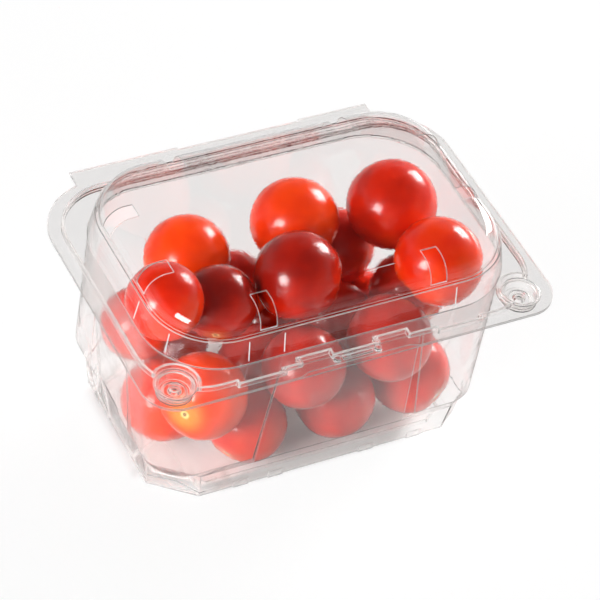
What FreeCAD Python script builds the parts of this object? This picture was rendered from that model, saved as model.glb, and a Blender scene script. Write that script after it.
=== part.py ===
# Clear hinged punnet with a domed lid, closed over a fill of cherry tomatoes.
# Frame: X along the pack, Y from the front latch to the hinge, Z up, origin under the middle of the base.
import FreeCAD, Part
import math
import os
import re
import Sketcher

os.makedirs("parts", exist_ok=True)
doc = FreeCAD.newDocument("hinged_punnet")
Vector = FreeCAD.Vector
Placement = FreeCAD.Placement
Rotation = FreeCAD.Rotation

# Driving sizes, in millimetres and degrees
sizes = {
    # film and fits
    "film": 0.4,                # thickness of the formed sheet
    "spare": 2.0,               # how far a cutting tool runs past the face it cuts
    "nestGap": 0.3,             # between lid and tub where they nest
    "fruitGap": 0.3,            # between one fruit and the next, and the film
    # flange and hinge leaf
    "packLength": 155.0,        # flange, end to end
    "packWidth": 115.6,         # flange front edge to the hinge fold
    "flangeTop": 73.0,          # height of the tub's flange face
    "flangeCornerFront": 12.0,
    "flangeCornerBack": 24.0,
    "leafDepth": 6.3,           # flange back edge to the fold
    "leafLength": 117.0,
    "slitDepth": 0.8,           # how far the free middle of the leaf stops short of the fold
    "slitLength": 48.0,
    "slitShift": 7.0,           # middle of the slit, off the pack's middle
    # rim bead
    "beadInset": 4.0,           # flange edge to the lid bead's outer wall
    "beadHeight": 2.0,          # above the flange face
    "beadCorner": 22.0,
    # tub
    "mouthInset": 9.9,          # flange edge to the tub wall's top
    "mouthCorner": 26.0,
    "waistLength": 128.0,       # section above the shoulder
    "waistFront": 43.0,
    "waistBack": 40.7,
    "waistHeight": 19.0,
    "waistCorner": 14.0,
    "plinthHeight": 12.0,
    "plinthLean": 1.3,          # plinth wall, out from foot to top
    "baseLength": 119.0,
    "baseFront": 38.0,
    "baseBack": 37.0,
    "baseCutLong": 15.0,        # left corner facets along the long side
    "baseCutShort": 12.0,       # left corner facets along the short side
    "rightCutLong": 7.0,        # right corner facets, which are smaller
    "rightCutShort": 5.0,
    "floorRise": 1.5,           # raised floor panel
    "floorBorder": 4.5,
    "panelLean": 7.4,           # angle of the recessed wall panels
    "panelTop": 66.0,
    "panelFootLong": 35.0,      # half width of the long side's panel at its foot
    "panelHeadLong": 28.0,
    "panelUpright": 25.5,       # the front panel's left edge, which doesn't lean
    "panelFootShort": 15.0,
    "panelHeadShort": 12.5,
    "panelFlare": 1.0,          # side slope of a recess: out per depth
    "panelReach": 8.0,          # past the deepest recess
    "padWidth": 6.0,            # small feet along the plinth
    "padHeight": 3.2,
    "padProud": 0.5,
    # snap buttons in the front ears
    "buttonX": 65.5,
    "buttonY": 47.0,
    "buttonRadius": 6.0,
    "buttonDepth": 3.0,
    "buttonTaper": 0.4,
    "buttonRing": 7.4,          # clear circle round a button
    "bossRadius": 2.4,
    "bossHeight": 1.6,
    "bossTaper": 0.3,
    "ringRadius": 6.9,          # raised ring round the lid's button
    "ringBand": 0.35,           # radius of the ring's section
    "innerRing": 4.0,
    # front latch
    "latchShift": -2.0,
    "latchNotch": 11.0,         # width of each finger notch in the bead
    "latchPitch": 29.0,         # one notch to the other
    "latchBite": 2.6,           # depth of the notch
    "lugRadius": 1.35,          # snap lug at the inner end of each notch
    "lugHeight": 1.3,
    "lugPitch": 15.4,
    "lugInset": 2.85,           # from the flange's front edge
    "barLength": 11.0,          # ridge between the lugs
    "barWidth": 1.2,
    "barHeight": 0.9,
    "reliefHalf": 19.0,         # the lid's edge stands back here, for a finger
    "reliefRun": 8.0,           # length of each slanting end
    "reliefDepth": 1.3,
    "wingLength": 18.0,         # wider stretch of bead each side of the latch
    "wingPitch": 75.0,
    "wingProud": 1.5,
    # dome
    "domeTop": 94.0,
    "domeInset": 9.6,           # flange edge to the dome's foot
    "domeCorner": 26.0,
    "bandTop": 86.0,            # height of the ledge over the upright band
    "bandInset": 11.5,          # flange edge to the band's top
    "crownInset": 12.8,         # flange edge to the crown's foot
    "crownRound": 7.6,          # wide shoulder of the crown
    # vent slots, cut through the shoulder
    "ventWidth": 6.0,
    "ventReach": 10.2,          # from the crown's foot towards the middle
    "ventFoot": 0.8,            # above the ledge
    "ventPlaceLong": 32.0,      # off the middle, on the long sides
    "ventPlaceShort": 14.0,
    # fruit
    "fruitSize": 31.0,
    "dimpleRadius": 5.2,        # pit at the stem end, wider than deep
    "dimpleFoot": 0.4,
    "dimpleDepth": 0.8,
}

sheet = doc.addObject("Spreadsheet::Sheet", "Sizes")
for row, (alias, value) in enumerate(sizes.items(), start=1):
    sheet.set(f"A{row}", alias)
    sheet.set(f"B{row}", str(value))
    sheet.setAlias(f"B{row}", alias)
doc.recompute()


def size(alias):
    return float(getattr(sheet, alias))


def bind(item, **formulas):
    """Tie properties to formulas in which the sheet's aliases stand as plain words."""
    for prop, formula in formulas.items():
        full = re.sub(r"[A-Za-z]+", lambda word: ("Sizes." if word[0] in sizes else "") + word[0], formula)
        item.setExpression(prop.replace("_", "."), full)
    return item


def pinned(sketch, rules):
    """Add dimension rules, each a constraint and the formula that drives it."""
    for number, (rule, formula) in enumerate(rules):
        place = sketch.addConstraint(rule)
        sketch.renameConstraint(place, f"size{number}")
        bind(sketch, **{f"Constraints_size{number}": formula})


# Outlines: closed sketches in a level plane, symmetric about the pack's long middle
def roundOutline(name, height, half, front, back, cornerFront, cornerBack=None):
    sketch = doc.addObject("Sketcher::SketchObject", name)
    roughHalf, roughFront, roughBack, roughCorner = 66.0, 48.0, 44.0, 15.0
    right, low, high = roughHalf - roughCorner, roughCorner - roughFront, roughBack - roughCorner
    middles = [(right, low, 270), (right, high, 0), (-right, high, 90), (-right, low, 180)]
    stops = []
    for x, y, start in middles:
        for turn in (math.radians(start), math.radians(start + 90)):
            stops.append(Vector(x + roughCorner * math.cos(turn), y + roughCorner * math.sin(turn), 0))
    for index, (x, y, start) in enumerate(middles):
        sketch.addGeometry(Part.LineSegment(stops[2 * index - 1], stops[2 * index]))
        circle = Part.Circle(Vector(x, y, 0), Vector(0, 0, 1), roughCorner)
        sketch.addGeometry(Part.ArcOfCircle(circle, math.radians(start), math.radians(start + 90)))
    sketch.addConstraint([Sketcher.Constraint("Tangent", side, 2, (side + 1) % 8, 1) for side in range(8)])
    sketch.addConstraint([Sketcher.Constraint("Horizontal", 0), Sketcher.Constraint("Horizontal", 4),
                          Sketcher.Constraint("Vertical", 2), Sketcher.Constraint("Vertical", 6),
                          Sketcher.Constraint("Equal", 1, 7), Sketcher.Constraint("Equal", 3, 5)])
    pinned(sketch, [(Sketcher.Constraint("DistanceX", -1, 1, 2, 1, roughHalf), half),
                    (Sketcher.Constraint("DistanceX", 6, 1, -1, 1, roughHalf), half),
                    (Sketcher.Constraint("DistanceY", 0, 1, -1, 1, roughFront), front),
                    (Sketcher.Constraint("DistanceY", -1, 1, 4, 1, roughBack), back),
                    (Sketcher.Constraint("Radius", 1, roughCorner), cornerFront),
                    (Sketcher.Constraint("Radius", 3, roughCorner), cornerBack or cornerFront)])
    return bind(sketch, Placement_Base_z=height)


def cornerOutline(name, corners, **place):
    """Straight-sided outline; each corner is (side of X, X formula, side of Y, Y formula)."""
    sketch = doc.addObject("Sketcher::SketchObject", name)
    rough = [Vector(sideX * (20 + 3 * (number % 2)), sideY * (20 + 3 * (number % 3)), 0)
             for number, (sideX, x, sideY, y) in enumerate(corners)]
    count = len(corners)
    for number in range(count):
        sketch.addGeometry(Part.LineSegment(rough[number], rough[(number + 1) % count]))
    sketch.addConstraint([Sketcher.Constraint("Coincident", side, 2, (side + 1) % count, 1)
                          for side in range(count)])
    rules = []
    for number, (sideX, x, sideY, y) in enumerate(corners):
        ends = {1: (-1, 1, number, 1), -1: (number, 1, -1, 1)}
        rules.append((Sketcher.Constraint("DistanceX", *ends[sideX], 20.0), x))
        rules.append((Sketcher.Constraint("DistanceY", *ends[sideY], 20.0), y))
    pinned(sketch, rules)
    return bind(sketch, **place)


def facetOutline(name, height, half, front, back):
    """Rectangle whose corners are cut by the base's facets."""
    left, right = f"({half}) - baseCutLong", f"({half}) - rightCutLong"
    corners = [(-1, left, -1, front), (1, right, -1, front), (1, half, -1, f"({front}) - rightCutShort"),
               (1, half, 1, f"({back}) - rightCutShort"), (1, right, 1, back), (-1, left, 1, back),
               (-1, half, 1, f"({back}) - baseCutShort"), (-1, half, -1, f"({front}) - baseCutShort")]
    return cornerOutline(name, corners, Placement_Base_z=height)


# Solids and booleans
def loft(name, sections):
    item = doc.addObject("Part::Loft", name)
    item.Sections = sections
    item.Solid = True
    item.Ruled = True
    return item


def prism(name, section, rise):
    item = doc.addObject("Part::Extrusion", name)
    item.Base = section
    item.DirMode = "Custom"
    item.Dir = Vector(0, 0, 1)
    item.Solid = True
    return bind(item, LengthFwd=rise)


def box(name, x, y, z, length, width, height):
    item = doc.addObject("Part::Box", name)
    return bind(item, Length=length, Width=width, Height=height,
                Placement_Base_x=x, Placement_Base_y=y, Placement_Base_z=z)


def cone(name, x, y, z, foot, head, height):
    item = doc.addObject("Part::Cone", name)
    return bind(item, Radius1=foot, Radius2=head, Height=height,
                Placement_Base_x=x, Placement_Base_y=y, Placement_Base_z=z)


def cylinder(name, x, y, z, radius, height):
    item = doc.addObject("Part::Cylinder", name)
    return bind(item, Radius=radius, Height=height,
                Placement_Base_x=x, Placement_Base_y=y, Placement_Base_z=z)


def ringBead(name, x, y, z, radius, band):
    item = doc.addObject("Part::Torus", name)
    return bind(item, Radius1=radius, Radius2=band,
                Placement_Base_x=x, Placement_Base_y=y, Placement_Base_z=z)


def fuse(name, pieces):
    item = doc.addObject("Part::MultiFuse", name)
    item.Shapes = pieces
    return item


def cut(name, base, tools):
    item = doc.addObject("Part::Cut", name)
    item.Base = base
    item.Tool = tools[0] if len(tools) == 1 else fuse(name + "Tools", tools)
    return item


# Formulas that several pieces share
halfLength = "packLength / 2"
halfWidth = "packWidth / 2"
flangeBack = "packWidth / 2 - leafDepth"
lidFlange = "flangeTop + nestGap"
tubBeadTop = "flangeTop + beadHeight"
lidBeadRoof = "flangeTop + beadHeight + nestGap"
step = "(film + nestGap)"


def insetOutline(name, height, inset, cornerFront, cornerBack=None):
    return roundOutline(name, height, f"{halfLength} - ({inset})", f"{halfWidth} - ({inset})",
                        f"{flangeBack} - ({inset})", cornerFront, cornerBack)


# Tub wall: plinth with facets, shoulder, then a taper out to the round-cornered mouth
def wallForm(name, skin):
    sections = [facetOutline(name + "Foot", skin, f"baseLength / 2 - {skin}", f"baseFront - {skin}",
                             f"baseBack - {skin}"),
                facetOutline(name + "Plinth", "plinthHeight", f"baseLength / 2 + plinthLean - {skin}",
                             f"baseFront + plinthLean - {skin}", f"baseBack + plinthLean - {skin}"),
                roundOutline(name + "Waist", "waistHeight", f"waistLength / 2 - {skin}",
                             f"waistFront - {skin}", f"waistBack - {skin}", f"waistCorner - {skin}"),
                insetOutline(name + "Mouth", tubBeadTop, f"mouthInset + {skin}", f"mouthCorner - {skin}")]
    return loft(name, sections)


# Recessed panels in the four walls: flared frustums that lean with the draft
longEdge = ("panelFootLong", "panelHeadLong")
shortEdge = ("panelFootShort", "panelHeadShort")
uprightEdge = ("panelUpright", "panelUpright")
panels = {
    # side: turn about Z, reach of the foot, then foot and head of its left and right edge, seen from outside
    "Front": (0, "baseFront", uprightEdge, longEdge),
    "Right": (90, "baseLength / 2", shortEdge, shortEdge),
    "Back": (180, "baseBack", longEdge, longEdge),
    "Left": (270, "baseLength / 2", shortEdge, shortEdge),
}


def panelTool(name, side, skin):
    turn, reach, (leftFoot, leftHead), (rightFoot, rightHead) = panels[side]
    around = Rotation(Vector(0, 0, 1), turn) * Rotation(Vector(1, 0, 0), 90 + size("panelLean"))
    outward = around.multVec(Vector(0, 0, 1))
    facing = Rotation(Vector(0, 0, 1), turn).multVec(Vector(0, -1, 0))
    ends = []
    for label, proud in (("Inner", 0.0), ("Outer", size("panelReach"))):
        wide = f"{proud} * panelFlare + {skin}"
        corners = [(-1, f"{leftFoot} + {wide}", -1, "spare"), (1, f"{rightFoot} + {wide}", -1, "spare"),
                   (1, f"{rightHead} + {wide}", 1, f"panelTop + {wide}"),
                   (-1, f"{leftHead} + {wide}", 1, f"panelTop + {wide}")]
        sketch = cornerOutline(f"{name}{side}{label}", corners)
        sketch.Placement = Placement(outward * proud, around)
        bind(sketch, Placement_Base_x=f"({facing.x:.0f}) * ({reach} - {skin}) + {outward.x * proud:.6f}",
             Placement_Base_y=f"({facing.y:.0f}) * ({reach} - {skin}) + {outward.y * proud:.6f}")
        ends.append(sketch)
    return loft(f"{name}{side}", ends)


# Tub
def wallSkin(name, skin):
    """The tub's wall as a filled form, drawn in by one skin from the outside."""
    tools = [panelTool(name + "Panel", side, skin) for side in panels]
    if skin == "0":
        under = facetOutline(name + "Under", "-spare", "baseLength / 2 - floorBorder",
                             "baseFront - floorBorder", "baseBack - floorBorder")
        tools.append(prism(name + "FloorRecess", under, "floorRise + spare"))
    else:
        above = facetOutline(name + "Above", "0", "baseLength / 2 - floorBorder + film",
                             "baseFront - floorBorder + film", "baseBack - floorBorder + film")
        tools.append(prism(name + "FloorPanel", above, "floorRise + film"))
    recessed = cut(name + "Recessed", wallForm(name + "Form", skin), tools)
    pads = []
    for number, middle in enumerate(padMiddles):
        for side, reach in ((-1, "baseFront"), (1, "baseBack")):
            deep = f"padProud + spare - {skin}"
            start = f"-{reach} - padProud + {skin}" if side < 0 else f"{reach} - spare"
            pads.append(box(f"{name}Pad{number}{'AB'[side > 0]}", f"{middle} - padWidth / 2 + {skin}", start,
                            skin, f"padWidth - 2 * {skin}", deep, f"padHeight - 2 * {skin}"))
    return fuse(name, [recessed] + pads)


def leafPlate(name, height):
    plate = box(name + "Plate", "-leafLength / 2", f"{flangeBack} - beadInset", height,
                "leafLength", "leafDepth + beadInset", "film")
    slit = box(name + "Slit", "slitShift - slitLength / 2", f"{halfWidth} - slitDepth", f"{height} - film",
               "slitLength", "slitDepth * 2", "film * 3")
    return cut(name, plate, [slit])


def beadForm(name, bottom, rise, skin):
    """Raised rim with wider wings, finger notches and a clear circle round each button."""
    ring = prism(name + "Ring", insetOutline(name + "Outline", bottom, f"beadInset + {skin}",
                                             f"beadCorner - {skin}"), rise)
    wings, tools = [], []
    for side, mark in ((-1, "L"), (1, "R")):
        wings.append(box(f"{name}Wing{mark}", f"{side} * wingPitch / 2 - wingLength / 2 + {skin}",
                         f"-{halfWidth} + beadInset - wingProud + {skin}", bottom,
                         f"wingLength - 2 * {skin}", "wingProud + spare", rise))
        tools.append(box(f"{name}Notch{mark}",
                         f"latchShift + {side} * latchPitch / 2 - latchNotch / 2 - {skin}",
                         f"-{halfWidth} - spare", f"{bottom} - spare", f"latchNotch + 2 * {skin}",
                         f"spare + beadInset + latchBite + {skin}", f"{rise} + 2 * spare"))
        tools.append(cylinder(f"{name}Clear{mark}", f"{side} * buttonX", "-buttonY", f"{bottom} - spare",
                              f"buttonRing + {skin}", f"{rise} + 2 * spare"))
    return cut(name, fuse(name + "Wide", [ring] + wings), tools)


def rimSheet(name, height, beadBottom, skin):
    """Flange, hinge leaf and hollow bead of one half of the pack."""
    flange = prism(name + "Flange", insetOutline(name + "Edge", height, "0", "flangeCornerFront",
                                                 "flangeCornerBack"), "film")
    bead = beadForm(name + "Bead", height, "beadHeight + film", skin)
    hollow = beadForm(name + "Hollow", beadBottom[0], beadBottom[1], f"({skin} + film)")
    return cut(name, fuse(name + "Solid", [flange, leafPlate(name + "Leaf", height), bead]), [hollow])


def button(name, side, bottom, grow, bossGrow):
    """Cup with a boss in its floor: what is added and what is taken away."""
    place = (f"{side} * buttonX", "-buttonY")
    cup = cone(name + "Cup", *place, bottom, f"buttonRadius - buttonTaper + {grow}",
               f"buttonRadius + {grow}", "buttonDepth + film")
    hollow = cone(name + "Hollow", *place, f"{bottom} + film", f"buttonRadius - buttonTaper + {grow} - film",
                  f"buttonRadius + {grow} - film", "buttonDepth")
    boss = cone(name + "Boss", *place, bottom, f"bossRadius + {bossGrow}",
                f"bossRadius + {bossGrow} - bossTaper", "bossHeight + film")
    under = cone(name + "Under", *place, f"{bottom} - film", f"bossRadius + {bossGrow} - film",
                 f"bossRadius + {bossGrow} - film - bossTaper", "bossHeight + film")
    return cup, hollow, boss, under


def withButtons(name, base, bottom, grow, bossGrow):
    for side, mark in ((-1, "L"), (1, "R")):
        cup, hollow, boss, under = button(f"{name}{mark}", side, bottom, grow, bossGrow)
        base = cut(f"{name}Cupped{mark}", fuse(f"{name}With{mark}", [base, cup]), [hollow])
        base = cut(f"{name}Bossed{mark}", fuse(f"{name}Boss{mark}Added", [base, boss]), [under])
    return base


padMiddles = (-28.5, -15.0, 21.0, 40.5)
tubRim = rimSheet("tubRim", "flangeTop - film", ("flangeTop - 2 * film", "beadHeight + film"), step)
tubFilled = fuse("tubFilled", [tubRim, wallSkin("tubOuter", "0")])
tubOpen = cut("tubOpen", tubFilled, [wallSkin("tubInner", "film")])
tub = withButtons("tubSocket", tubOpen, "flangeTop - buttonDepth - film", step, f"(0 - {step})")


# Lid
def crownEdges(shape, height):
    return [number for number, edge in enumerate(shape.Edges, start=1)
            if abs(edge.BoundBox.ZMin - height) < 1e-4 and abs(edge.BoundBox.ZMax - height) < 1e-4]


def domeForm(name, skin):
    """Upright band up to a ledge, and on it a crown with a wide rounded shoulder."""
    foot = insetOutline(name + "Foot", lidBeadRoof, f"domeInset + {skin}", f"domeCorner - {skin}")
    ledge = insetOutline(name + "Ledge", f"bandTop - {skin}", f"bandInset + {skin}",
                         f"domeCorner + domeInset - bandInset - {skin}")
    crownFoot = insetOutline(name + "CrownFoot", lidBeadRoof, f"crownInset + {skin}",
                             f"domeCorner + domeInset - crownInset - {skin}")
    crown = prism(name + "Crown", crownFoot, f"domeTop - ({lidBeadRoof}) - {skin}")
    doc.recompute()
    inward = 0 if skin == "0" else size("film")
    radius, top = size("crownRound") - inward, size("domeTop") - inward
    rounded = doc.addObject("Part::Fillet", name + "Rounded")
    rounded.Base = crown
    rounded.Edges = [(number, radius, radius) for number in crownEdges(crown.Shape, top)]
    return fuse(name, [loft(name + "Band", [foot, ledge]), rounded])


def ventTool(name, side, middle):
    """Slot punched through the crown's shoulder, on the side that faces front, back, left or right."""
    deep, over = "ventReach + spare", "domeTop - bandTop - ventFoot + spare"
    bottom = "bandTop + ventFoot"
    starts = {"front": f"-{halfWidth} + crownInset - spare",
              "back": f"{flangeBack} - crownInset - ventReach",
              "left": f"-{halfLength} + crownInset - spare",
              "right": f"{halfLength} - crownInset - ventReach"}
    if side in ("front", "back"):
        return box(name, f"{middle} - ventWidth / 2", starts[side], bottom, "ventWidth", deep, over)
    return box(name, starts[side], f"{middle} - ventWidth / 2", bottom, deep, "ventWidth", over)


def latchPieces(bottom):
    """Snap lugs and the ridge between them, on the flange in front of the bead."""
    line = f"-{halfWidth} + lugInset"
    pieces = [box("latchBar", "latchShift - barLength / 2", f"{line} - barWidth / 2", bottom, "barLength",
                  "barWidth", "film + barHeight")]
    for side, mark in ((-1, "L"), (1, "R")):
        place = f"latchShift + {side} * lugPitch / 2"
        pieces.append(cone(f"latchLug{mark}", place, line, bottom, "lugRadius", "lugRadius - bossTaper",
                           "film + lugHeight"))
    return pieces


def edgeRelief(bottom):
    """Stretch of the front edge that stands back from the tub's edge."""
    wide = "reliefHalf + reliefRun"
    corners = [(-1, f"{wide} - latchShift", -1, f"{halfWidth} + spare"),
               (1, f"{wide} + latchShift", -1, f"{halfWidth} + spare"),
               (1, "reliefHalf + latchShift", -1, f"{halfWidth} - reliefDepth"),
               (-1, "reliefHalf - latchShift", -1, f"{halfWidth} - reliefDepth")]
    return prism("relief", cornerOutline("reliefOutline", corners, Placement_Base_z=f"{bottom} - spare"),
                 "film + 2 * spare")


ventPlaces = {"front": "ventPlaceLong", "back": "ventPlaceLong", "left": "ventPlaceShort",
              "right": "ventPlaceShort"}
lidRim = rimSheet("lidRim", lidFlange, ("flangeTop", "beadHeight + nestGap"), "0")
lidFilled = fuse("lidFilled", [lidRim, domeForm("domeOuter", "0")] + latchPieces(lidFlange))
vents = [ventTool(f"vent{side.title()}{mark}", side, f"{sign} * {place}")
         for side, place in ventPlaces.items() for mark, sign in (("A", -1), ("B", 1))]
lidOpen = cut("lidOpen", lidFilled, [domeForm("domeInner", "film"), edgeRelief(lidFlange)] + vents)
lidSnapped = withButtons("lidButton", lidOpen, f"{lidFlange} - buttonDepth", "0", "0")
rings = [ringBead(f"ring{label}{mark}", f"{side} * buttonX", "-buttonY", height, radius, "ringBand")
         for side, mark in ((-1, "L"), (1, "R"))
         for label, height, radius in (("Outer", f"{lidFlange} + film", "ringRadius"),
                                       ("Inner", f"{lidFlange} - buttonDepth + film", "innerRing"))]
lid = fuse("lid", [lidSnapped] + rings)

# Fruit: rough places and sizes. Each is in per cent of the base's half length, of its reach
# to the front or back, of the flange's height, and of fruitSize
seenPlaces = [
    # read from the photograph: top layer, then the front and left walls from above down
    (-46, 64, 71, 101), (27, 58, 80, 104), (81, 38, 90, 106), (84, -46, 92, 103), (0, -22, 88, 103),
    (-88, -29, 103, 87), (-50, -18, 86, 88), (-5, -74, 60, 97), (51, -73, 61, 100), (79, -66, 24, 98),
    (-71, -71, 55, 100), (-37, -70, 22, 94), (-80, -13, 25, 99), (21, -71, 24, 96),
]
hiddenPlaces = [
    # guessed: left wall, floor and middle of the back row, then the core
    (-49, 59, 25, 92), (18, 59, 25, 92), (74, 54, 25, 92), (-85, 28, 56, 86), (-9, 65, 52, 90),
    (50, 65, 56, 90), (-12, 0, 27, 92), (37, -8, 44, 90), (84, -8, 56, 90),
]
fruitPlaces = seenPlaces + hiddenPlaces
settleRounds = 900
sinkRounds = 400
sinkStep = 0.05         # first and largest sink of a round
seenGive = 0.15         # how readily a seen fruit moves, beside 1 for a hidden one


def wallPush(x, y, z, radius):
    """Move that brings a fruit's middle clear of the tub's walls, floor and the dome."""
    reach = radius + size("fruitGap")
    move = [0.0, 0.0, 0.0]
    rise = size("flangeTop") + size("beadHeight")
    mouth = size("mouthInset") + size("film")
    sides = [
        (0, 1, size("baseLength") / 2 - size("film"), size("packLength") / 2 - mouth),
        (0, -1, size("baseLength") / 2 - size("film"), size("packLength") / 2 - mouth),
        (1, -1, size("baseFront") - size("film"), size("packWidth") / 2 - mouth),
        (1, 1, size("baseBack") - size("film"), size("packWidth") / 2 - size("leafDepth") - mouth),
    ]
    place = (x, y, z)
    limits = []
    for axis, sign, foot, head in sides:
        slope = math.atan((head - foot) / rise)
        wide = foot + (head - foot) * z / rise
        limits.append(wide - reach / math.cos(slope))
        past = sign * place[axis] - limits[-1]
        if past > 0:
            move[axis] -= sign * past
    corner = size("mouthCorner") * z / rise + size("waistCorner") * (1 - z / rise) - reach
    if corner > 0:
        backX = limits[0] - corner
        backY = (limits[2] if y < 0 else limits[3]) - corner
        offX, offY = abs(x) - backX, abs(y) - backY
        far = math.hypot(offX, offY)
        if offX > 0 and offY > 0 and far > corner:
            move[0] -= math.copysign(offX * (1 - corner / far), x)
            move[1] -= math.copysign(offY * (1 - corner / far), y)
    cutX = size("baseCutLong" if x < 0 else "rightCutLong")
    cutY = size("baseCutShort" if x < 0 else "rightCutShort")
    if z < 2 * radius:
        norm = math.hypot(cutX, cutY)
        edgeX = size("baseLength") / 2 + size("plinthLean") - size("film")
        edgeY = (size("baseFront") if y < 0 else size("baseBack")) + size("plinthLean") - size("film")
        past = ((abs(x) - edgeX) * cutY + (abs(y) - edgeY) * cutX + cutX * cutY) / norm + reach
        if past > 0:
            move[0] -= math.copysign(past * cutY / norm, x)
            move[1] -= math.copysign(past * cutX / norm, y)
    floor = size("floorRise") + size("film") + reach
    roof = size("domeTop") - size("film") - reach
    if z < floor:
        move[2] += floor - z
    if z > roof:
        move[2] -= z - roof
    return move


def settled(places):
    """Let the fruit sink a little and push each other and the walls apart until none overlap."""
    spots = [[x / 100 * size("baseLength") / 2, y / 100 * size("baseFront" if y < 0 else "baseBack"),
              z / 100 * size("flangeTop")] for x, y, z, share in places]
    radii = [share / 100 * size("fruitSize") / 2 for x, y, z, share in places]
    gives = [seenGive] * len(seenPlaces) + [1.0] * len(hiddenPlaces)
    for turn in range(settleRounds):
        sink = sinkStep * max(0.0, 1 - turn / sinkRounds)
        for spot, give in zip(spots, gives):
            spot[2] -= sink * give
        for first in range(len(spots)):
            for second in range(first):
                apart = [a - b for a, b in zip(spots[first], spots[second])]
                far = math.sqrt(sum(part * part for part in apart))
                short = radii[first] + radii[second] + size("fruitGap") - far
                if short > 0:
                    share = gives[first] / (gives[first] + gives[second])
                    for axis in range(3):
                        push = apart[axis] / far * short
                        spots[first][axis] += push * share
                        spots[second][axis] -= push * (1 - share)
        for spot, radius in zip(spots, radii):
            for axis, push in enumerate(wallPush(*spot, radius)):
                spot[axis] += push
    return spots


def fruit(number, spot, share):
    """Ball with a shallow pit, turned so that no two stem ends point alike."""
    body = bind(doc.addObject("Part::Sphere", f"flesh{number}"), Radius=f"fruitSize * {share} / 200")
    pit = cone(f"pit{number}", "0", "0", f"fruitSize * {share} / 200 - dimpleDepth", "dimpleFoot",
               "dimpleRadius", "dimpleDepth * 2")
    item = cut(f"fruit{number}", body, [pit])
    turn = goldenTurn * number
    heading, tilt = stemTurns.get(number, (turn % 360, leastTilt + turn % tiltSpread))
    item.Placement = Placement(Vector(*spot), Rotation(heading, tilt, 0))
    return item


goldenTurn = 137.5
leastTilt, tiltSpread = 85, 85
stemTurns = {11: (-144, 69)}        # the paler fruit shows its stem end at the front left
nodes = {"tub": tub, "lid": lid}
for number, (spot, place) in enumerate(zip(settled(fruitPlaces), fruitPlaces), start=1):
    nodes[f"tomato_{number:02d}"] = fruit(number, spot, place[3])

doc.recompute()
for item in doc.Objects:
    if "Invalid" in item.State or "Error" in item.State:
        raise RuntimeError(f"{item.Name} failed: {item.State}")
for label, item in nodes.items():
    if item.Shape.isNull() or not item.Shape.isValid():
        raise RuntimeError(f"{label} has no valid shape")
    item.Label = label
    item.Shape.exportStep(f"parts/{label}.step")
    middle = item.Shape.BoundBox.Center
    print(label, len(item.Shape.Solids), round(item.Shape.Volume, 1), [round(v, 1) for v in middle])
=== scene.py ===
import math

import bmesh
import bpy
from mathutils import Euler, Matrix, Vector, noise


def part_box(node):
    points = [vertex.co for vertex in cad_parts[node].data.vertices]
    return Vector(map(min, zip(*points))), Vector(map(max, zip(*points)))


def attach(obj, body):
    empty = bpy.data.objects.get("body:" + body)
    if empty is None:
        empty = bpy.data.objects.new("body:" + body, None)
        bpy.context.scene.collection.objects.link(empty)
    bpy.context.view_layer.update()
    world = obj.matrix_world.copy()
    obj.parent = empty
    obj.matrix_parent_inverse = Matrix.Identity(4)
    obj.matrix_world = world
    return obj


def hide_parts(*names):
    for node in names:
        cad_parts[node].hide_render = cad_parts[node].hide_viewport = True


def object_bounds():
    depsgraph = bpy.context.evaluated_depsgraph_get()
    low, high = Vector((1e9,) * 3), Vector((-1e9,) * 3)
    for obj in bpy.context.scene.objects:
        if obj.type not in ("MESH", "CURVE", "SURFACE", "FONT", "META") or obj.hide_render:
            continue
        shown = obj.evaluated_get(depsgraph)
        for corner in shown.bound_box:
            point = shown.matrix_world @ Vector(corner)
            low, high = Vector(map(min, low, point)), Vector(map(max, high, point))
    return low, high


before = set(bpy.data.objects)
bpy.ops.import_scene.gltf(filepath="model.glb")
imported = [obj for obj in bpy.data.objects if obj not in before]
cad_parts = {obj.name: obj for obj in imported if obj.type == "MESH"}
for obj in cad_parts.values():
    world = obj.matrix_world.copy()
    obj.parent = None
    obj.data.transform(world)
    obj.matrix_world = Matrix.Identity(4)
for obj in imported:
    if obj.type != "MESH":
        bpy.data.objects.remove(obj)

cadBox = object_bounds()
fruitNodes = sorted(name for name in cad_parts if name.startswith("tomato_"))
print("frame loaded:", len(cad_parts), "nodes,", len(fruitNodes), "of them fruit")


# Node helpers
def newMaterial(name):
    material = bpy.data.materials.new(name)
    material.use_nodes = True
    nodes = material.node_tree.nodes
    shader = nodes["Principled BSDF"]
    return material, nodes, material.node_tree.links, shader


def setSockets(node, values):
    for socket, value in values.items():
        node.inputs[socket].default_value = value


def addNode(nodes, kind, values=None, **settings):
    node = nodes.new(kind)
    for name, value in settings.items():
        setattr(node, name, value)
    setSockets(node, values or {})
    return node


def addRamp(nodes, stops):
    ramp = nodes.new("ShaderNodeValToRGB")
    elements = ramp.color_ramp.elements
    elements[0].position, elements[0].color = stops[0]
    elements[1].position, elements[1].color = stops[-1]
    for position, color in stops[1:-1]:
        elements.new(position).color = color
    return ramp


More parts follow.
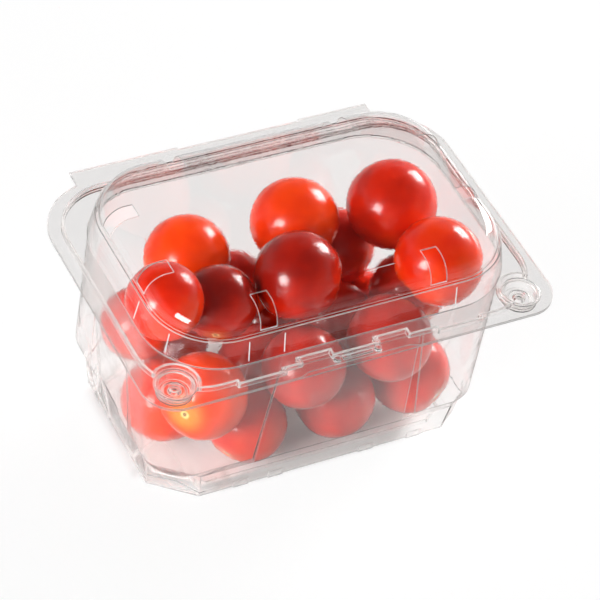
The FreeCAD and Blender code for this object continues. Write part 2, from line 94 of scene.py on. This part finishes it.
def addSeen(nodes, links):
    # 1 where the camera looks straight at this, or only through clear sheet
    ray = addNode(nodes, "ShaderNodeLightPath")
    bounces = addNode(nodes, "ShaderNodeMath", operation="ADD")
    straight = addNode(nodes, "ShaderNodeMath", {1: 0.5}, operation="LESS_THAN")
    through = addNode(nodes, "ShaderNodeMath", operation="MULTIPLY")
    seen = addNode(nodes, "ShaderNodeMath", operation="MAXIMUM")
    links.new(ray.outputs["Diffuse Depth"], bounces.inputs[0])
    links.new(ray.outputs["Glossy Depth"], bounces.inputs[1])
    links.new(bounces.outputs["Value"], straight.inputs[0])
    links.new(ray.outputs["Is Transmission Ray"], through.inputs[0])
    links.new(straight.outputs["Value"], through.inputs[1])
    links.new(ray.outputs["Is Camera Ray"], seen.inputs[0])
    links.new(through.outputs["Value"], seen.inputs[1])
    return seen.outputs["Value"]


def addPiece(name, body):
    mesh = bpy.data.meshes.new(name)
    piece = bpy.data.objects.new(name, mesh)
    bpy.context.collection.objects.link(piece)
    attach(piece, body)
    return piece


# Clear thermoformed sheet of the tub and the lid; lengths in metres, scales in waves a metre
clearSheet = {
    "tint": (0.975, 0.968, 0.964, 1.0),
    "roughness": 0.02,
    "ior": 1.46,
    "creaseWidth": 0.00045,     # pale stress line and painted highlight along a fold or a cut edge
    "creaseTurn": (0.006, 0.08),    # how far the sheet turns where the line begins and is full
    "creaseShare": 0.72,
    "creaseSamples": 4,
    "creaseRoughness": 0.3,
    "creaseClearness": 0.35,
    "creaseIor": 1.1,
    "creaseHighlightColor": (0.93, 0.90, 0.89, 1.0),
    "waveScale": 55.0,          # soft waviness left by the mould
    "waveDetail": 2.0,
    "waveHeight": 0.0004,
    "waveBump": 0.35,
    "scratchScale": 260.0,
    "scratchDetail": 3.0,
    "scratchBend": 2.5,
    "scratchHeight": 0.00005,
    "scratchBump": 0.3,
    "rumpleScale": 48.0,        # dented lower corner, front left
    "rumpleHeight": 0.004,
    "rumpleLine": 0.07,         # half width of a dent's crease, of the space between creases
    "rumpleFrom": (-0.024, -0.062),     # across the pack, where the dents begin and are full
    "rumpleBelow": (0.026, 0.006),      # height, the same way
    "rumpleShare": 0.45,
    "shadowLight": (0.95, 0.94, 0.935, 1.0),
}


def addBump(nodes, links, height, strength, distance, before=None):
    # strength is a number or an output
    bump = addNode(nodes, "ShaderNodeBump", {"Distance": distance})
    if isinstance(strength, float):
        setSockets(bump, {"Strength": strength})
    else:
        links.new(strength, bump.inputs["Strength"])
    links.new(height, bump.inputs["Height"])
    if before:
        links.new(before, bump.inputs["Normal"])
    return bump.outputs["Normal"]


def addRise(nodes, links, value, start, full):
    # soft step from 0 at start to 1 at full
    rise = addNode(nodes, "ShaderNodeMapRange", {"From Min": start, "From Max": full},
                   interpolation_type="SMOOTHSTEP")
    links.new(value, rise.inputs["Value"])
    return rise.outputs["Result"]


def addCreaseHighlight(nodes, links):
    # share of pale crease, a painted highlight: how far the sheet turns within a crease's width
    turned = addNode(nodes, "ShaderNodeBevel", {"Radius": clearSheet["creaseWidth"]},
                     samples=clearSheet["creaseSamples"])
    flat = addNode(nodes, "ShaderNodeNewGeometry")
    alike = addNode(nodes, "ShaderNodeVectorMath", operation="DOT_PRODUCT")
    turn = addNode(nodes, "ShaderNodeMath", {0: 1.0}, operation="SUBTRACT")
    share = addNode(nodes, "ShaderNodeMath", {1: clearSheet["creaseShare"]}, operation="MULTIPLY")
    links.new(turned.outputs["Normal"], alike.inputs[0])
    links.new(flat.outputs["Normal"], alike.inputs[1])
    links.new(alike.outputs["Value"], turn.inputs[1])
    links.new(addRise(nodes, links, turn.outputs["Value"], *clearSheet["creaseTurn"]), share.inputs[0])
    return share.outputs["Value"]


def makeClearSheet():
    material, nodes, links, shader = newMaterial("clearSheet")
    setSockets(shader, {"Base Color": clearSheet["tint"], "Roughness": clearSheet["roughness"],
                        "IOR": clearSheet["ior"], "Transmission Weight": 1.0})
    where = addNode(nodes, "ShaderNodeTexCoord")
    parts = addNode(nodes, "ShaderNodeSeparateXYZ")
    links.new(where.outputs["Object"], parts.inputs["Vector"])
    wave = addNode(nodes, "ShaderNodeTexNoise",
                   {"Scale": clearSheet["waveScale"], "Detail": clearSheet["waveDetail"]})
    scratch = addNode(nodes, "ShaderNodeTexNoise",
                      {"Scale": clearSheet["scratchScale"], "Detail": clearSheet["scratchDetail"],
                       "Distortion": clearSheet["scratchBend"]})
    rumple = addNode(nodes, "ShaderNodeTexVoronoi", {"Scale": clearSheet["rumpleScale"]},
                     feature="DISTANCE_TO_EDGE")
    for texture in (wave, scratch, rumple):
        links.new(where.outputs["Object"], texture.inputs["Vector"])
    dented = addNode(nodes, "ShaderNodeMath", operation="MULTIPLY")
    links.new(addRise(nodes, links, parts.outputs["X"], *clearSheet["rumpleFrom"]), dented.inputs[0])
    links.new(addRise(nodes, links, parts.outputs["Z"], *clearSheet["rumpleBelow"]), dented.inputs[1])
    waved = addBump(nodes, links, wave.outputs["Fac"], clearSheet["waveBump"], clearSheet["waveHeight"])
    scratched = addBump(nodes, links, scratch.outputs["Fac"], clearSheet["scratchBump"],
                        clearSheet["scratchHeight"], waved)
    normal = addBump(nodes, links, rumple.outputs["Distance"], dented.outputs["Value"],
                     clearSheet["rumpleHeight"], scratched)
    links.new(normal, shader.inputs["Normal"])
    # pale creases along folds and dents: stress lines and painted highlights
    crease = addNode(nodes, "ShaderNodeBsdfPrincipled",
                     {"Base Color": clearSheet["creaseHighlightColor"], "Roughness": clearSheet["creaseRoughness"],
                      "Transmission Weight": clearSheet["creaseClearness"], "IOR": clearSheet["creaseIor"]})
    creased = addNode(nodes, "ShaderNodeMixShader")
    # painted highlights along the dents' creases too
    dentLine = addNode(nodes, "ShaderNodeMath", operation="MULTIPLY")
    nearLine = addRise(nodes, links, rumple.outputs["Distance"], clearSheet["rumpleLine"], 0.0)
    links.new(nearLine, dentLine.inputs[0])
    links.new(dented.outputs["Value"], dentLine.inputs[1])
    dentShare = addNode(nodes, "ShaderNodeMath", {1: clearSheet["rumpleShare"]}, operation="MULTIPLY")
    links.new(dentLine.outputs["Value"], dentShare.inputs[0])
    share = addNode(nodes, "ShaderNodeMath", operation="MAXIMUM")
    links.new(addCreaseHighlight(nodes, links), share.inputs[0])
    links.new(dentShare.outputs["Value"], share.inputs[1])
    links.new(share.outputs["Value"], creased.inputs["Fac"])
    links.new(shader.outputs["BSDF"], creased.inputs[1])
    links.new(crease.outputs["BSDF"], creased.inputs[2])
    # light reaches the fruit through the sheet
    ray = addNode(nodes, "ShaderNodeLightPath")
    clear = addNode(nodes, "ShaderNodeBsdfTransparent", {"Color": clearSheet["shadowLight"]})
    mix = addNode(nodes, "ShaderNodeMixShader")
    links.new(ray.outputs["Is Shadow Ray"], mix.inputs["Fac"])
    links.new(creased.outputs["Shader"], mix.inputs[1])
    links.new(clear.outputs["BSDF"], mix.inputs[2])
    links.new(mix.outputs["Shader"], nodes["Material Output"].inputs["Surface"])
    return material


sheetMaterial = makeClearSheet()
for nodeName in ("tub", "lid"):
    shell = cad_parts[nodeName]
    shell.data.materials.clear()
    shell.data.materials.append(sheetMaterial)
print("clear sheet on tub and lid")

# Short upright ribs in the band of the dome, coloured pale as painted highlights
band = {
    "foot": (0.0096, 0.0753),   # inset from the flange's edge, and height
    "ledge": (0.0115, 0.0860),
    "corner": 0.026,            # radius of the outline's corner at the foot
    "ribEnds": (0.15, 0.85),    # shares of the band's height
    "ribRadius": 0.00022,
    "ribSides": 8,
    # where they stand: along the front, round the left front corner in degrees, along the left end
    "ribs": (("front", -0.0395), ("front", -0.0264), ("front", 0.0386), ("corner", 60), ("left", -0.0175)),
    # pale colour of the ribs, a painted highlight
    "color": (0.95, 0.93, 0.92, 1),
    "roughness": 0.25,
    "clearness": 0.2,
}


def bandPoint(kind, place, share):
    inset, height = (low + (high - low) * share for low, high in zip(band["foot"], band["ledge"]))
    left, front = cadBox[0][0] + inset, cadBox[0][1] + inset
    if kind == "front":
        return Vector((place, front, height))
    if kind == "left":
        return Vector((left, place, height))
    radius = band["corner"] - inset + band["foot"][0]
    turn = math.radians(place)
    return Vector((left + radius * (1 - math.sin(turn)), front + radius * (1 - math.cos(turn)), height))


def makeBandRibs():
    material, _, _, shader = newMaterial("paleRibHighlight")
    setSockets(shader, {"Base Color": band["color"], "Roughness": band["roughness"],
                        "Transmission Weight": band["clearness"]})
    shape = bmesh.new()
    for kind, place in band["ribs"]:
        foot, head = (bandPoint(kind, place, share) for share in band["ribEnds"])
        along = head - foot
        stand = Matrix.Translation((foot + head) / 2) @ along.to_track_quat("Z", "Y").to_matrix().to_4x4()
        bmesh.ops.create_cone(shape, cap_ends=True, segments=band["ribSides"], radius1=band["ribRadius"],
                              radius2=band["ribRadius"], depth=along.length, matrix=stand)
    ribs = addPiece("bandRibs", "lid")
    shape.to_mesh(ribs.data)
    shape.free()
    ribs.data.materials.append(material)


makeBandRibs()
print("ribs on the dome's band:", len(band["ribs"]))

# Cherry tomatoes
tomato = {
    "rings": 40,
    "segments": 56,
    "squat": 0.98,              # height over width
    "lobes": 0.010,             # depth of the faint ribs near the stem end
    "lobeCount": 5,
    "lobePlace": 0.7,           # radians from the stem
    "lobeSpread": 0.5,
    "lump": 0.016,              # uneven growth
    "lumpScale": 1.3,
    "lumpStep": 3.7,            # from one fruit's noise to the next
    "pitDepth": 0.085,          # of the radius
    "pitWidth": 0.28,           # radians
    "tipDepth": 0.02,
    "tipWidth": 0.12,
    "firstTurn": 137.5,         # as the solids are turned
    "leastTilt": 85,
    "tiltSpread": 85,
    "paleFruit": "tomato_11",
}
stemTurns = {11: (-144, 79)}    # the paler fruit shows its stem end to the front
# how bright the red of each shown fruit is, 0 for plain ripe; set against mean colours
# measured on nine of them, in the photograph and in the render
# the tones are partly each fruit's own colour and partly painted light and shade
toneAndShade = {1: 0.26, 2: 0.22, 3: -0.03, 4: 0.10, 5: -0.22, 6: 0.0, 7: -0.24, 8: -0.12, 9: -0.10, 10: -0.06,
         11: 0.22, 12: 0.04, 13: 0.12, 14: -0.12}


def stemDirection(number):
    turn = tomato["firstTurn"] * number
    heading, tilt = stemTurns.get(number, (turn % 360, tomato["leastTilt"] + turn % tomato["tiltSpread"]))
    return Euler((0, math.radians(tilt), math.radians(heading)))


def tomatoPoint(lift, around, number):
    ribbed = math.exp(-((lift - tomato["lobePlace"]) / tomato["lobeSpread"]) ** 2)
    rib = 1 + tomato["lobes"] * math.cos(tomato["lobeCount"] * around + number) * ribbed
    pit = tomato["pitDepth"] * math.exp(-(lift / tomato["pitWidth"]) ** 2)
    tip = tomato["tipDepth"] * math.exp(-((math.pi - lift) / tomato["tipWidth"]) ** 2)
    way = Vector((math.sin(lift) * math.cos(around), math.sin(lift) * math.sin(around), math.cos(lift)))
    seed = Vector((number * tomato["lumpStep"], 0, 0))
    lump = 1 - tomato["lump"] * (1 + noise.noise(way * tomato["lumpScale"] + seed)) / 2
    point = way * (rib * lump - pit - tip)
    point.z *= tomato["squat"]
    return point


def makeTomato(nodeName, material):
    # each point keeps its place on the fruit and the fruit's tone, partly painted light and shade, for the
    # skin
    number = int(nodeName.split("_")[1])
    low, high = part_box(nodeName)
    centre = (Vector(low) + Vector(high)) / 2
    radius = min(b - a for a, b in zip(low, high)) / 2
    turn = stemDirection(number).to_matrix()
    rings, segments = tomato["rings"], tomato["segments"]
    shape = bmesh.new()
    skinPlace = shape.verts.layers.float_vector.new("skinPlace")
    skinToneAndShade = shape.verts.layers.float.new("skinToneAndShade")

    def addPoint(lift, around):
        point = tomatoPoint(lift, around, number)
        vert = shape.verts.new(turn @ point)
        vert[skinPlace] = point
        vert[skinToneAndShade] = toneAndShade.get(number, 0.0)
        return vert

    top, bottom = addPoint(0, 0), addPoint(math.pi, 0)
    loops = [[addPoint(math.pi * ring / rings, 2 * math.pi * step / segments) for step in range(segments)]
             for ring in range(1, rings)]
    for step in range(segments):
        after = (step + 1) % segments
        shape.faces.new((top, loops[0][step], loops[0][after]))
        shape.faces.new((bottom, loops[-1][after], loops[-1][step]))
        for upper, lower in zip(loops, loops[1:]):
            shape.faces.new((upper[step], lower[step], lower[after], upper[after]))
    for face in shape.faces:
        face.smooth = True
    widest = max(vert.co.length for vert in shape.verts)
    for vert in shape.verts:
        vert.co *= radius / widest
    piece = addPiece("fruit" + nodeName[-2:], "tub")
    shape.to_mesh(piece.data)
    shape.free()
    piece.location = centre
    piece.data.materials.append(material)
    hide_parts(nodeName)


tomatoSkin = {
    "deep": (0.28, 0.005, 0.0008, 1),
    "ripe": (0.64, 0.016, 0.0008, 1),
    "bright": (0.92, 0.060, 0.0012, 1),
    "pale": (0.95, 0.26, 0.03, 1),
    "scar": (0.26, 0.13, 0.04, 1),
    "scarRim": (0.86, 0.56, 0.20, 1),
    "toneStops": (0.22, 0.5, 0.80),     # where deep, ripe and bright stand
    "patchScale": 38.0,
    "patchDetail": 3.0,
    "speckleScale": 620.0,
    "speckleDetail": 2.0,
    "speckleBump": 0.12,
    "speckleHeight": 0.00012,
    "roughness": 0.2,
    "specular": 0.4,
    "depth": 0.10,              # share of light that enters the flesh
    "depthReach": (0.005, 0.0010, 0.0004),
    "depthScale": 0.5,
    "coat": 0.35,
    "coatRoughness": 0.08,
    "haloFrom": 0.05,
    "scarCore": 0.6,            # of the scar's reach, fully dark
    "stemHalf": (0.3, -0.1),    # from the stem half to the other, along the stem's axis
    "farAway": 3.0,
    "scarReach": 0.065,         # of the radius, from the stem's axis
    "rimReach": 0.13,
    # how pale the skin is round the stem, and how far out
    "ripeShoulder": (0.35, 0.5),
    "paleShoulder": (0.85, 0.62),
}


def addReach(nodes, links):
    # distance from the stem's axis, in radii, counted on the stem half only
    place = addNode(nodes, "ShaderNodeAttribute", attribute_name="skinPlace")
    parts = addNode(nodes, "ShaderNodeSeparateXYZ")
    flat = addNode(nodes, "ShaderNodeCombineXYZ")
    reach = addNode(nodes, "ShaderNodeVectorMath", operation="LENGTH")
    below = addNode(nodes, "ShaderNodeMapRange",
                    {"From Min": tomatoSkin["stemHalf"][0], "From Max": tomatoSkin["stemHalf"][1],
                     "To Min": 0.0, "To Max": tomatoSkin["farAway"]})
    away = addNode(nodes, "ShaderNodeMath", operation="ADD")
    links.new(place.outputs["Vector"], parts.inputs["Vector"])
    links.new(parts.outputs["X"], flat.inputs["X"])
    links.new(parts.outputs["Y"], flat.inputs["Y"])
    links.new(flat.outputs["Vector"], reach.inputs[0])
    links.new(parts.outputs["Z"], below.inputs["Value"])
    links.new(reach.outputs["Value"], away.inputs[0])
    links.new(below.outputs["Result"], away.inputs[1])
    return away.outputs["Value"]


def addLayer(nodes, links, base, share, color):
    layer = addNode(nodes, "ShaderNodeMix", data_type="RGBA")
    layer.inputs["B"].default_value = color
    links.new(share, layer.inputs["Factor"])
    links.new(base, layer.inputs["A"])
    return layer.outputs["Result"]


def makeTomatoSkin(name, paleness, paleReach):
    material, nodes, links, shader = newMaterial(name)
    setSockets(shader, {"Roughness": tomatoSkin["roughness"], "Specular IOR Level": tomatoSkin["specular"],
                        "Subsurface Weight": tomatoSkin["depth"],
                        "Subsurface Radius": tomatoSkin["depthReach"],
                        "Subsurface Scale": tomatoSkin["depthScale"],
                        "Coat Weight": tomatoSkin["coat"], "Coat Roughness": tomatoSkin["coatRoughness"]})
    where = addNode(nodes, "ShaderNodeTexCoord")
    each = addNode(nodes, "ShaderNodeAttribute", attribute_name="skinToneAndShade")
    patch = addNode(nodes, "ShaderNodeTexNoise",
                    {"Scale": tomatoSkin["patchScale"], "Detail": tomatoSkin["patchDetail"]})
    speckle = addNode(nodes, "ShaderNodeTexNoise",
                      {"Scale": tomatoSkin["speckleScale"], "Detail": tomatoSkin["speckleDetail"]})
    for texture in (patch, speckle):
        links.new(where.outputs["Object"], texture.inputs["Vector"])
    toned = addNode(nodes, "ShaderNodeMath", operation="ADD")
    tone = addRamp(nodes, [(stop, tomatoSkin[key]) for stop, key
                           in zip(tomatoSkin["toneStops"], ("deep", "ripe", "bright"))])
    links.new(patch.outputs["Fac"], toned.inputs[0])
    links.new(each.outputs["Fac"], toned.inputs[1])
    links.new(toned.outputs["Value"], tone.inputs["Fac"])
    away = addReach(nodes, links)
    shoulder = addNode(nodes, "ShaderNodeMapRange",
                       {"From Min": tomatoSkin["haloFrom"], "From Max": paleReach,
                        "To Min": paleness, "To Max": 0.0},
                       interpolation_type="SMOOTHSTEP")
    links.new(away, shoulder.inputs["Value"])
    skin = addLayer(nodes, links, tone.outputs["Color"], shoulder.outputs["Result"], tomatoSkin["pale"])
    rim = addRise(nodes, links, away, tomatoSkin["rimReach"], tomatoSkin["scarReach"])
    skin = addLayer(nodes, links, skin, rim, tomatoSkin["scarRim"])
    core = tomatoSkin["scarReach"] * tomatoSkin["scarCore"]
    scar = addRise(nodes, links, away, tomatoSkin["scarReach"], core)
    skin = addLayer(nodes, links, skin, scar, tomatoSkin["scar"])
    links.new(skin, shader.inputs["Base Color"])
    speckled = addBump(nodes, links, speckle.outputs["Fac"], tomatoSkin["speckleBump"],
                       tomatoSkin["speckleHeight"])
    links.new(speckled, shader.inputs["Normal"])
    return material


ripeSkin = makeTomatoSkin("tomatoSkin", *tomatoSkin["ripeShoulder"])
paleSkin = makeTomatoSkin("tomatoSkinPale", *tomatoSkin["paleShoulder"])
for nodeName in fruitNodes:
    makeTomato(nodeName, paleSkin if nodeName == tomato["paleFruit"] else ripeSkin)
print("tomatoes made:", len(fruitNodes))

# Floor, lights and the room
studio = {
    "floorSize": 6.0,
    "floorColor": (0.93, 0.93, 0.93, 1),
    "floorRoughness": 0.6,
    "floorSpecular": 0.2,
    "whiteStrength": 1.03,
    "floorWhite": 0.88,         # how far the seen floor is lifted towards white
    "underWhite": 0.08,         # the same under the pack
    "underReach": (0.80, 0.66),     # share of the pack's half length and half width that shades the floor
    "underEdge": (0.94, 1.04),
    "underCorner": 0.64,        # the shade's corners are cut off, as the base's are
    "wallLight": 0.38,
    "ceilingLight": 0.035,
    "wallTop": 0.15,            # sine of the height at which the walls begin to dim
    "ceilingStart": 0.60,
    "lampAim": (0, 0, 0.04),
    # name: place, size, power, color
    "lamps": {
        "rightLamp": ((0.93, 0.41, 0.47), 0.42, 12.5, (1.0, 0.99, 0.98)),
        "leftLamp": ((-0.97, -0.34, 0.44), 0.42, 10.5, (1.0, 1.0, 1.0)),
    },
}


def addFloorWhite(nodes, links):
    # painted shade: less of the lift in a rectangle under the pack, where its shade and the fruit's red light
    # show
    where = addNode(nodes, "ShaderNodeTexCoord")
    reach = addNode(nodes, "ShaderNodeVectorMath", operation="DIVIDE")
    halves = [high * share for high, share in zip(cadBox[1], studio["underReach"])]
    reach.inputs[1].default_value = (*halves, 1.0)
    away = addNode(nodes, "ShaderNodeVectorMath", operation="ABSOLUTE")
    parts = addNode(nodes, "ShaderNodeSeparateXYZ")
    straight = addNode(nodes, "ShaderNodeMath", operation="MAXIMUM")
    both = addNode(nodes, "ShaderNodeMath", operation="ADD")
    slanted = addNode(nodes, "ShaderNodeMath", {1: studio["underCorner"]}, operation="MULTIPLY")
    farthest = addNode(nodes, "ShaderNodeMath", operation="MAXIMUM")
    lift = addNode(nodes, "ShaderNodeMapRange",
                   {"From Min": studio["underEdge"][0], "From Max": studio["underEdge"][1],
                    "To Min": studio["underWhite"], "To Max": studio["floorWhite"]},
                   interpolation_type="SMOOTHSTEP")
    links.new(where.outputs["Object"], reach.inputs[0])
    links.new(reach.outputs["Vector"], away.inputs[0])
    links.new(away.outputs["Vector"], parts.inputs["Vector"])
    for place, axis in enumerate("XY"):
        links.new(parts.outputs[axis], straight.inputs[place])
        links.new(parts.outputs[axis], both.inputs[place])
    links.new(both.outputs["Value"], slanted.inputs[0])
    links.new(straight.outputs["Value"], farthest.inputs[0])
    links.new(slanted.outputs["Value"], farthest.inputs[1])
    links.new(farthest.outputs["Value"], lift.inputs["Value"])
    return lift.outputs["Result"]


def makeFloor():
    mesh = bpy.data.meshes.new("floor")
    half = studio["floorSize"] / 2
    corners = [(-half, -half, 0), (half, -half, 0), (half, half, 0), (-half, half, 0)]
    mesh.from_pydata(corners, [], [(0, 1, 2, 3)])
    floor = bpy.data.objects.new("floor", mesh)
    bpy.context.collection.objects.link(floor)
    material, nodes, links, shader = newMaterial("paleFloor")
    setSockets(shader, {"Base Color": studio["floorColor"], "Roughness": studio["floorRoughness"],
                        "Specular IOR Level": studio["floorSpecular"]})
    part = addNode(nodes, "ShaderNodeMath", operation="MULTIPLY")
    links.new(addFloorWhite(nodes, links), part.inputs[1])
    white = addNode(nodes, "ShaderNodeEmission", {"Color": (1, 1, 1, 1), "Strength": studio["whiteStrength"]})
    mix = addNode(nodes, "ShaderNodeMixShader")
    links.new(addSeen(nodes, links), part.inputs[0])
    links.new(part.outputs["Value"], mix.inputs["Fac"])
    links.new(shader.outputs["BSDF"], mix.inputs[1])
    links.new(white.outputs["Emission"], mix.inputs[2])
    links.new(mix.outputs["Shader"], nodes["Material Output"].inputs["Surface"])
    mesh.materials.append(material)


def makeRoom():
    world = bpy.data.worlds.new("studioWorld")
    world.use_nodes = True
    nodes, links = world.node_tree.nodes, world.node_tree.links
    # pale walls under a dim ceiling
    where = addNode(nodes, "ShaderNodeTexCoord")
    parts = addNode(nodes, "ShaderNodeSeparateXYZ")
    height = addNode(nodes, "ShaderNodeMapRange",
                     {"From Min": studio["wallTop"], "From Max": studio["ceilingStart"],
                      "To Min": studio["wallLight"], "To Max": studio["ceilingLight"]},
                     interpolation_type="SMOOTHSTEP")
    light = nodes["Background"]
    setSockets(light, {"Color": (1, 1, 1, 1)})
    shown = addNode(nodes, "ShaderNodeBackground", {"Color": (1, 1, 1, 1), "Strength": 1.0})
    mix = addNode(nodes, "ShaderNodeMixShader")
    links.new(where.outputs["Generated"], parts.inputs["Vector"])
    links.new(parts.outputs["Z"], height.inputs["Value"])
    links.new(height.outputs["Result"], light.inputs["Strength"])
    links.new(addSeen(nodes, links), mix.inputs["Fac"])
    links.new(light.outputs["Background"], mix.inputs[1])
    links.new(shown.outputs["Background"], mix.inputs[2])
    links.new(mix.outputs["Shader"], nodes["World Output"].inputs["Surface"])
    bpy.context.scene.world = world


def makeLamps():
    aim = Vector(studio["lampAim"])
    for name, (place, width, power, color) in studio["lamps"].items():
        lamp = bpy.data.lights.new(name, "AREA")
        lamp.size = width
        lamp.energy = power
        lamp.color = color
        holder = bpy.data.objects.new(name, lamp)
        holder.location = place
        holder.rotation_euler = (aim - Vector(place)).to_track_quat("-Z", "Y").to_euler()
        bpy.context.collection.objects.link(holder)


makeFloor()
makeRoom()
makeLamps()
print("studio ready")

# Camera at the photograph's viewing angle
shot = {
    "azimuth": -33.37,          # degrees, 0 looks along +Y
    "elevation": 44.46,
    "roll": 10.15,
    "distance": 0.75291,
    "aim": (-0.10333, -0.16848, 0.24191),
    "focalPixels": 2933.47,
    "frameWidth": 600.0,        # pixels
    "sensorWidth": 36.0,        # millimetres
    "clipStart": 0.01,
    "bounces": 28,              # enough for sight lines through every wall of the sheet
}


def makeCamera():
    turn, lift, roll = (math.radians(shot[key]) for key in ("azimuth", "elevation", "roll"))
    back = Vector((math.sin(turn) * math.cos(lift), -math.cos(turn) * math.cos(lift), math.sin(lift)))
    right = Vector((0, 0, 1)).cross(back).normalized()
    up = back.cross(right)
    across = right * math.cos(roll) + up * math.sin(roll)
    above = up * math.cos(roll) - right * math.sin(roll)
    lens = bpy.data.cameras.new("photoCamera")
    lens.sensor_width = shot["sensorWidth"]
    lens.lens = lens.sensor_width * shot["focalPixels"] / shot["frameWidth"]
    lens.clip_start = shot["clipStart"]
    camera = bpy.data.objects.new("photoCamera", lens)
    pose = Matrix((across, above, back)).transposed().to_4x4()
    pose.translation = Vector(shot["aim"]) + back * shot["distance"]
    camera.matrix_world = pose
    bpy.context.collection.objects.link(camera)
    bpy.context.scene.camera = camera


makeCamera()
bpy.context.scene.view_settings.view_transform = "Standard"
bpy.context.scene.cycles.max_bounces = shot["bounces"]
bpy.context.scene.cycles.transmission_bounces = shot["bounces"]
print("camera set")
